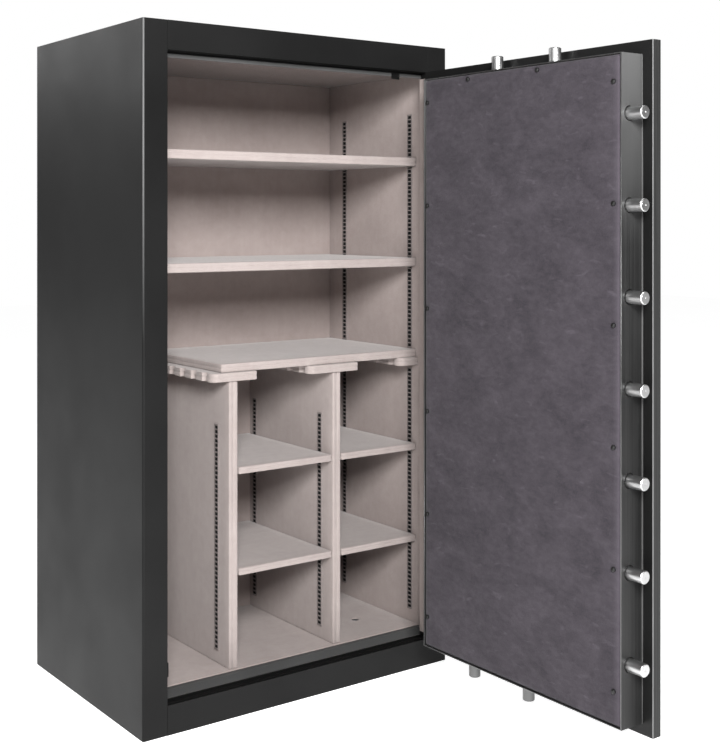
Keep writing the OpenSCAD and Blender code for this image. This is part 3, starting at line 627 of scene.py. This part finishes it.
def lathe(bm, profile, centre, outward, sides=24):
    """Turns (distance, radius) points about an axis through centre, added to a bmesh."""
    turn = Vector((0, 0, 1)).rotation_difference(Vector(outward)).to_matrix()
    rings = []
    for along, radius in profile:
        if radius < SAME_POINT:
            rings.append([bm.verts.new(Vector(centre) + turn @ Vector((0, 0, along)))])
            continue
        rings.append([])
        for k in range(sides):
            angle = 2 * math.pi * k / sides
            offset = Vector((radius * math.cos(angle), radius * math.sin(angle), along))
            rings[-1].append(bm.verts.new(Vector(centre) + turn @ offset))
    for lower, upper in zip(rings, rings[1:]):
        for k in range(sides):
            n = (k + 1) % sides
            if len(upper) == 1:
                bm.faces.new((lower[k], lower[n], upper[0]))
            elif len(lower) == 1:
                bm.faces.new((lower[0], upper[n], upper[k]))
            else:
                bm.faces.new((lower[k], lower[n], upper[n], upper[k]))


def make_panel_pins(finishes):
    """Push-in pins: a domed cap with a stepped rim, seated in the cloth."""
    radius, proud, seat = 6.0 * MM, 2.5 * MM, 3.0 * MM
    profile = [(-seat, 0.0), (-seat, radius), (0.3 * proud, radius)]
    profile += [(0.45 * proud, 0.93 * radius), (0.45 * proud, 0.72 * radius)]
    for k in range(1, 7):
        angle = math.radians(15 * k)
        profile.append((proud * (0.45 + 0.55 * math.sin(angle)), 0.72 * radius * math.cos(angle)))
    bm = bmesh.new()
    for part in node_islands("liner_pins"):
        low, high = extent(part)
        part.free()
        lathe(bm, profile, (high.x, (low.y + high.y) / 2, (low.z + high.z) / 2), (-1, 0, 0))
    add_piece("panel_pins", bm, "door", finishes["black_plastic"], "black_plastic", "liner_pins")


def make_slot_shadows(finishes):
    """The dark hollows seen through the slots of the shelf standards."""
    for node in ("standards_upper", "standards_lower", "standards_divider"):
        bm = bmesh.new()
        for part in node_islands(node):
            low, high = extent(part)
            part.normal_update()
            for face in part.faces:
                at = face.calc_center_median()
                if abs(face.normal.x) > 0.9 and low.x + 0.1 * MM < at.x < high.x - 0.1 * MM:
                    lift = face.normal * 0.2 * MM
                    bm.faces.new([bm.verts.new(v.co + lift) for v in face.verts])
            part.free()
        bmesh.ops.remove_doubles(bm, verts=bm.verts, dist=SAME_POINT)
        for face in bmesh.ops.extrude_face_region(bm, geom=bm.faces[:])["geom"]:
            if isinstance(face, bmesh.types.BMVert):
                face.co -= 0.05 * MM * Vector((math.copysign(1, face.co.x), 0, 0))
        add_piece("hollows_" + node, bm, "cabinet", finishes["slot_dark"], "standard_steel")


def weld_bead(bm, start, end, toe_a, toe_b, size, pitch=4.4 * MM, height=0.13):
    """A rippled fillet weld along an inside corner; toe_a and toe_b point along its two faces."""
    run = Vector(end) - Vector(start)
    count = max(4, round(4 * run.length / pitch))
    rows = []
    for i in range(count + 1):
        ripple = 1.0 + height * math.cos(2 * math.pi * run.length * i / count / pitch)
        taper = min(1.0, 0.45 + 3.0 * min(i, count - i) / count)
        reach = size * ripple * taper
        at = Vector(start) + run * (i / count)
        row = [at]
        for k in range(6):
            angle = math.radians(90 * k / 5)
            bulge = 0.72 + 0.28 * abs(math.cos(2 * angle))
            outward = Vector(toe_a) * math.cos(angle) + Vector(toe_b) * math.sin(angle)
            row.append(at + outward * reach * bulge)
        rows.append([bm.verts.new(p) for p in row])
    for one, two in zip(rows, rows[1:]):
        for k in range(len(one)):
            n = (k + 1) % len(one)
            bm.faces.new((one[k], one[n], two[n], two[k]))
    bm.faces.new(list(reversed(rows[0])))
    bm.faces.new(rows[-1])


def make_hinge_welds(finishes):
    """Fillet welds round the hinge leaves, painted over with the rest."""
    size, leaf_body, leaf_door = 4.0 * MM, 36.0 * MM, 44.0 * MM
    bead = bmesh.new()
    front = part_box("bottom_panel")[0].y
    for part in node_islands("hinge_leaves_body"):
        low, high = extent(part)
        part.free()
        edge = high.x - leaf_body
        weld_bead(bead, (high.x, front, low.z), (high.x, front, high.z), (1, 0, 0), (0, -1, 0), size)
        weld_bead(bead, (edge, front, low.z), (high.x, front, low.z), (0, 0, -1), (0, -1, 0), size)
    bmesh.ops.recalc_face_normals(bead, faces=bead.faces)
    add_piece("hinge_welds_body", bead, "cabinet", finishes["body_paint"], "body_paint")
    bead = bmesh.new()
    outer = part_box("door_slab")[1].x
    for part in node_islands("hinge_leaves_door"):
        low, high = extent(part)
        part.free()
        weld_bead(bead, (outer, low.y, low.z), (outer, low.y, high.z), (0, -1, 0), (1, 0, 0), size)
        end = (outer, low.y + leaf_door, high.z)
        weld_bead(bead, (outer, low.y, high.z), end, (0, 0, 1), (1, 0, 0), size)
    bmesh.ops.recalc_face_normals(bead, faces=bead.faces)
    add_piece("hinge_welds_door", bead, "door", finishes["body_paint"], "body_paint")


def make_box_rim(finishes):
    """The rolled edge of the boltwork box, worn bright, as one mitred half-round bead round the panel."""
    low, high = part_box("door_box")
    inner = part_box("door_liner")[0]
    half = 1.25 * MM
    steps = 8
    bm = bmesh.new()
    rings = []
    for side_y, side_z in ((-1, -1), (1, -1), (1, 1), (-1, 1)):
        ring = []
        for k in range(steps + 1):
            angle = math.pi * k / steps
            inset = half - half * math.cos(angle)
            proud = 0.8 * half * math.sin(angle)
            y = low.y + inset if side_y < 0 else high.y - inset
            z = low.z + inset if side_z < 0 else high.z - inset
            ring.append(bm.verts.new((inner.x - proud, y, z)))
        for k in (steps, 0):
            at = ring[k].co
            ring.append(bm.verts.new((at.x + 0.3 * MM, at.y, at.z)))
        rings.append(ring)
    for k in range(4):
        one, two = rings[k], rings[(k + 1) % 4]
        for i in range(len(one)):
            n = (i + 1) % len(one)
            bm.faces.new((one[i], one[n], two[n], two[i]))
    bmesh.ops.recalc_face_normals(bm, faces=bm.faces)
    add_piece("box_rim", bm, "door", finishes["bare_rim"], "box_steel")


def make_header_seal(finishes):
    """A thin black rubber sheet under the header, from the front to the strip on the flange: painted shade
    for the dark underside of the header's return.
    """
    thick, side_gap, forward, flange_strip = 0.8 * MM, 3.0 * MM, 5.0 * MM, 3.5 * MM
    low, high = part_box("door_seal")
    corner = Vector((low.x + side_gap, low.y - forward, high.z - thick))
    size = Vector((high.x, high.y - flange_strip, high.z)) - corner
    bm = bmesh.new()
    # Painted shade: a black sheet laid where the header's underside is in shade.
    place = Matrix.Translation(corner + size / 2) @ Matrix.Diagonal((*size, 1.0))
    bmesh.ops.create_cube(bm, size=1.0, matrix=place)
    add_piece("header_shade_strip", bm, "cabinet", finishes["rubber"], "rubber")


def make_box_welds(finishes):
    """The long fillet that joins the boltwork box to the inside of the slab, on all four sides."""
    size, pitch, height = 3.0 * MM, 12.0 * MM, 0.05
    low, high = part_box("door_box")
    wall = high.x
    corners = [(low.y, low.z), (high.y, low.z), (high.y, high.z), (low.y, high.z)]
    outward = [(0, 0, -1), (0, 1, 0), (0, 0, 1), (0, -1, 0)]
    bead = bmesh.new()
    for k in range(4):
        start, end = corners[k], corners[(k + 1) % 4]
        weld_bead(bead, (wall, *start), (wall, *end), outward[k], (-1, 0, 0), size, pitch, height)
    bmesh.ops.recalc_face_normals(bead, faces=bead.faces)
    add_piece("box_welds", bead, "door", finishes["trim_steel"], "box_steel")


def add_tick(bm, middle, face_x, radius_in, radius_out, angle, width):
    """One raised graduation line on a face that looks to +X."""
    radial = Vector((0, math.sin(angle), math.cos(angle)))
    across = Vector((0, math.cos(angle), -math.sin(angle))) * width / 2
    base = Vector((face_x, middle.y, middle.z))
    lift = Vector((0.15 * MM, 0, 0))
    bottom = [base + radial * radius_in - across, base + radial * radius_out - across]
    bottom += [base + radial * radius_out + across, base + radial * radius_in + across]
    low = [bm.verts.new(p - lift) for p in bottom]
    high = [bm.verts.new(p + lift) for p in bottom]
    bm.faces.new(low)
    bm.faces.new(list(reversed(high)))
    for k in range(4):
        n = (k + 1) % 4
        bm.faces.new((low[k], high[k], high[n], low[n]))


def add_number(bm, text, middle, face_x, radius, angle, size):
    """A small number painted on the dial, its foot towards the centre."""
    curve = bpy.data.curves.new("number", "FONT")
    curve.body = text
    curve.size = size
    curve.align_x = "CENTER"
    curve.align_y = "CENTER"
    curve.extrude = 0.12 * MM
    obj = bpy.data.objects.new("number", curve)
    bpy.context.scene.collection.objects.link(obj)
    bpy.context.view_layer.update()
    mesh = bpy.data.meshes.new_from_object(obj.evaluated_get(bpy.context.evaluated_depsgraph_get()))
    upright = Matrix(((0, 0, 1), (1, 0, 0), (0, 1, 0))).to_4x4()
    spin = Matrix.Rotation(-angle, 4, "X")
    hub = Matrix.Translation((face_x, middle.y, middle.z))
    mesh.transform(hub @ spin @ Matrix.Translation((0, 0, radius)) @ upright)
    bm.from_mesh(mesh)
    bpy.data.objects.remove(obj)
    bpy.data.meshes.remove(mesh)


def make_dial_marks(finishes):
    """A hundred graduations, the tens numbered, and an index line on the fixed ring."""
    low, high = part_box("dial")
    middle = (low + high) / 2
    ring_low, ring_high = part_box("dial_ring")
    face_x = ring_high.x + 3.0 * MM
    edge = (high.z - low.z) / 2
    bm = bmesh.new()
    for k in range(100):
        length = (6.0 if k % 10 == 0 else 4.4 if k % 5 == 0 else 2.8) * MM
        width = (0.7 if k % 10 == 0 else 0.45) * MM
        angle = -2 * math.pi * k / 100
        add_tick(bm, middle, face_x, edge - length, edge - 0.8 * MM, angle, width)
        if k % 10 == 0:
            add_number(bm, str(k), middle, face_x, edge - 9.4 * MM, angle, 4.6 * MM)
    bmesh.ops.recalc_face_normals(bm, faces=bm.faces)
    add_piece("dial_marks", bm, "dial_spindle", finishes["white_ink"], "black_plastic")
    bm = bmesh.new()
    ring_edge = (ring_high.z - ring_low.z) / 2
    ring_middle = (ring_low + ring_high) / 2
    index_in, index_out = ring_edge - 10.5 * MM, ring_edge - 2.0 * MM
    add_tick(bm, ring_middle, ring_high.x, index_in, index_out, 0.0, 1.2 * MM)
    add_piece("dial_index", bm, "door", finishes["black_plastic"], "black_plastic")


# ---------------------------------------------------------------- CAD nodes


def dress_cad_nodes(finishes):
    """Puts a finish on every CAD node and rounds the edges of the flat-sided ones."""
    smooth = smooth_group()
    sheet = {"side_left", "side_right", "top_panel", "bottom_panel", "back_plate", "stop_flange"}
    bolts = {"side_bolts", "top_bolts", "bottom_bolts"}
    keep = bolts | {"dial", "handle", "scroll_cam", "dial_ring", "hinge_pins"}
    # The bottom bolts take the darker, painted-shade copy of the bolt steel.
    special = {"door_slab": "slab_paint", "bottom_bolts": "shaded_bolt"}
    for node, obj in NODES.items():
        obj.data.materials.clear()
        obj.data.materials.append(finishes[special.get(node, SLOT_OF[node])])
        if obj.hide_render or node in keep:
            continue
        width = 0.3 if node in sheet else 0.5
        if node in ("door_slab", "side_left"):
            width = 1.4
        soften_edges(obj, width * MM, smooth)


make_camera()
make_studio()
FINISHES = make_finishes()
make_floor()
make_covered_boards(FINISHES)
make_door_panel(FINISHES)
make_panel_pins(FINISHES)
make_slot_shadows(FINISHES)
make_hinge_welds(FINISHES)
make_box_welds(FINISHES)
make_box_rim(FINISHES)
make_header_seal(FINISHES)
make_dial_marks(FINISHES)
dress_cad_nodes(FINISHES)
